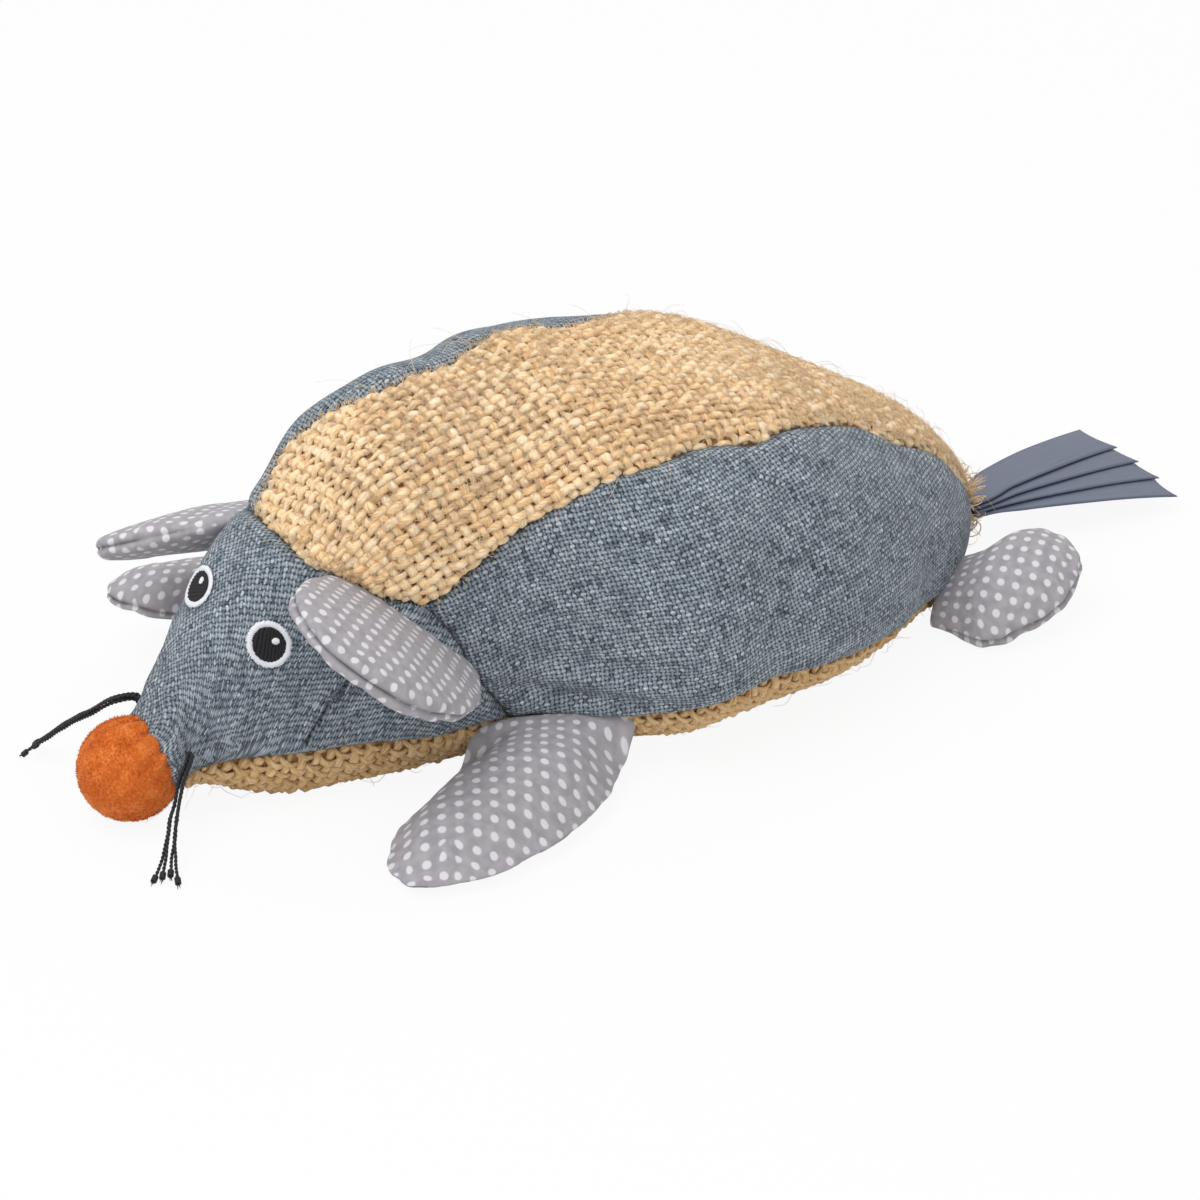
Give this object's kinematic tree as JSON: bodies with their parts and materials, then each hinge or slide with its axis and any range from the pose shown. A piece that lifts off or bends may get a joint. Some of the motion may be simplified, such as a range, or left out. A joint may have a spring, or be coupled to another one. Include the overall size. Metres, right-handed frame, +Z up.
{
  "type": "catnip mouse",
  "caption": "Stuffed toy mouse of jute and linen-look cloth with a catnip pouch inside, hinged padded ears and feet, a plush nose, cord whiskers and a ribbon tail.",
  "frame": {"origin": "on the flat underside of the belly panel, on the mouse's centre line, where it rests on the floor", "axes": "+X towards the mouse's left, -Y towards the nose, +Y towards the tail, +Z up"},
  "size_m": [0.1577, 0.3454, 0.1034],
  "materials": {
    "jute": "coarse woven jute",
    "linen_look": "melange linen-look weave",
    "dotted_cotton": "smooth cotton with printed white dots",
    "plush": "short plush",
    "wadding": "loose polyester wadding",
    "muslin": "thin muslin",
    "dried_leaf": "dried, cut catnip leaf",
    "black_thread": "waxed black cord and thread",
    "white_thread": "satin stitch thread",
    "ribbon": "satin ribbon"
  },
  "bodies": {
    "root": {"back_panel": "jute", "belly_panel": "jute", "side_panel_left": "linen_look", "side_panel_right": "linen_look", "head_panel": "linen_look", "body_stuffing": "wadding", "catnip_pouch_top": "muslin", "catnip_pouch_bottom": "muslin", "catnip_fill": "dried_leaf", "nose_cover": "plush", "nose_stuffing": "wadding", "eye_ring_left": "white_thread", "eye_highlight_left": "white_thread", "eye_pupil_left": "black_thread", "eye_ring_right": "white_thread", "eye_highlight_right": "white_thread", "eye_pupil_right": "black_thread", "whisker_left_1": "black_thread", "whisker_left_2": "black_thread", "whisker_left_3": "black_thread", "whisker_left_4": "black_thread", "whisker_right_1": "black_thread", "whisker_right_2": "black_thread", "whisker_right_3": "black_thread", "whisker_right_4": "black_thread"},
    "ear_left": {"ear_left_upper": "dotted_cotton", "ear_left_lower": "dotted_cotton", "ear_left_stuffing": "wadding"},
    "ear_right": {"ear_right_upper": "dotted_cotton", "ear_right_lower": "dotted_cotton", "ear_right_stuffing": "wadding"},
    "front_foot_left": {"front_foot_left_upper": "dotted_cotton", "front_foot_left_lower": "dotted_cotton", "front_foot_left_stuffing": "wadding"},
    "front_foot_right": {"front_foot_right_upper": "dotted_cotton", "front_foot_right_lower": "dotted_cotton", "front_foot_right_stuffing": "wadding"},
    "rear_foot_left": {"rear_foot_left_upper": "dotted_cotton", "rear_foot_left_lower": "dotted_cotton", "rear_foot_left_stuffing": "wadding"},
    "rear_foot_right": {"rear_foot_right_upper": "dotted_cotton", "rear_foot_right_lower": "dotted_cotton", "rear_foot_right_stuffing": "wadding"},
    "tail": {"tail_ribbon_1": "ribbon", "tail_ribbon_2": "ribbon", "tail_ribbon_3": "ribbon", "tail_ribbon_4": "ribbon"}
  },
  "joints": [
    {"name": "ear_left_flap", "type": "hinge", "parent": "root", "child": "ear_left", "pos_m": [0.03485, -0.08396, 0.05094], "axis": [-0.3291, -0.6791, 0.6561], "range_deg": [-8, 30], "stiffness_Nm_per_rad": 0.12},
    {"name": "ear_right_flap", "type": "hinge", "parent": "root", "child": "ear_right", "pos_m": [-0.03257, -0.0878, 0.0555], "axis": [-0.4269, 0.8359, -0.345], "range_deg": [-8, 30], "stiffness_Nm_per_rad": 0.12},
    {"name": "front_foot_left_flap", "type": "hinge", "parent": "root", "child": "front_foot_left", "pos_m": [0.04038, -0.04172, 0.01496], "axis": [-0.4068, -0.9135, 0], "range_deg": [-8, 16], "stiffness_Nm_per_rad": 0.3},
    {"name": "front_foot_right_flap", "type": "hinge", "parent": "root", "child": "front_foot_right", "pos_m": [-0.03531, -0.05964, 0.01672], "axis": [-0.2099, 0.9476, -0.2409], "range_deg": [-8, 16], "stiffness_Nm_per_rad": 0.3},
    {"name": "rear_foot_left_flap", "type": "hinge", "parent": "root", "child": "rear_foot_left", "pos_m": [0.03098, 0.08756, 0.00823], "axis": [0.5569, -0.7569, -0.342], "range_deg": [-8, 16], "stiffness_Nm_per_rad": 0.3},
    {"name": "rear_foot_right_flap", "type": "hinge", "parent": "root", "child": "rear_foot_right", "pos_m": [-0.03098, 0.08756, 0.00823], "axis": [0.5569, 0.7569, 0.342], "range_deg": [-8, 16], "stiffness_Nm_per_rad": 0.3},
    {"name": "tail_flick", "type": "hinge", "parent": "root", "child": "tail", "pos_m": [0, 0.11875, 0.013], "axis": [1, 0, 0], "range_deg": [-20, 35], "stiffness_Nm_per_rad": 0.04}
  ]
}
